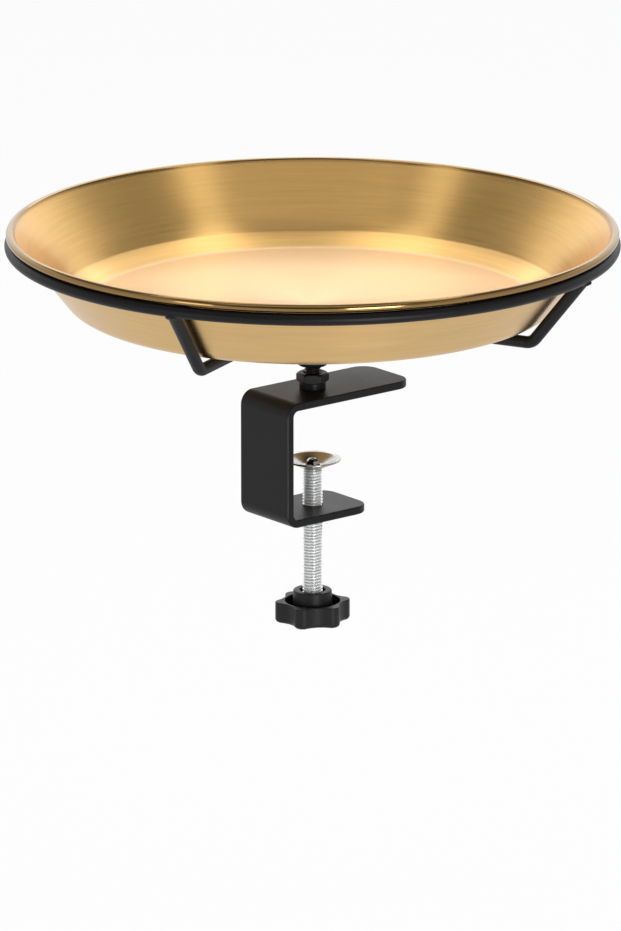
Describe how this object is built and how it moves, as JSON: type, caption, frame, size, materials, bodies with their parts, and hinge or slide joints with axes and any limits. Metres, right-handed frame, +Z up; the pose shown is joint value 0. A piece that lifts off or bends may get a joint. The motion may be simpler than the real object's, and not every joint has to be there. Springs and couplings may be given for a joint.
{
  "type": "bird feeding station",
  "caption": "Shallow brushed gold dish in a black wire holder that turns on a C-clamp; a star-knob screw with a swivel pad grips a railing, and the dish lifts out.",
  "frame": {"origin": "On the common axis of dish, stud and clamp screw, at the underside of the bracket's top flange, the face that sits on a railing.", "axes": "+Z up along the common axis, +X along the flanges from the back plate to their free ends, +Y across the bar."},
  "size_m": [0.3, 0.3, 0.1992],
  "materials": {
    "dish_metal": "circular brushed gold",
    "black_coat": "satin black powder coat on steel",
    "black_hardware": "black oxide steel",
    "zinc_plate": "bright zinc plate",
    "bright_nickel": "bright nickel plate",
    "knob_plastic": "moulded black nylon"
  },
  "bodies": {
    "clamp": {"clamp_bracket": "black_coat", "weld_stud": "black_hardware", "jam_nut": "black_hardware"},
    "holder": {"hub_boss": "black_coat", "holder_ring": "black_coat", "arm_1": "black_coat", "arm_2": "black_coat", "arm_3": "black_coat", "arm_4": "black_coat"},
    "dish": {"dish": "dish_metal"},
    "pad": {"pressure_pad": "bright_nickel"},
    "screw": {"clamp_screw": "zinc_plate", "star_knob": "knob_plastic", "knob_insert": "zinc_plate"}
  },
  "joints": [
    {"name": "holder_turn", "type": "hinge", "parent": "clamp", "child": "holder", "pos_m": [0, 0, 0.03], "axis": [0, 0, 1], "range_deg": [-180, 180]},
    {"name": "dish_lift", "type": "slide", "parent": "holder", "child": "dish", "axis": [0, 0, 1], "range_m": [0, 0.12]},
    {"name": "clamp_travel", "type": "slide", "parent": "clamp", "child": "pad", "axis": [0, 0, 1], "range_m": [-0.0186, 0.0315]},
    {"name": "screw_spin", "type": "hinge", "parent": "pad", "child": "screw", "pos_m": [0, 0, -0.06], "axis": [0, 0, 1], "range_deg": [-4466, 7562]}
  ],
  "couplings": [
    {"joint": "screw_spin", "follows": "clamp_travel", "rad_per_m": 4188.8}
  ]
}
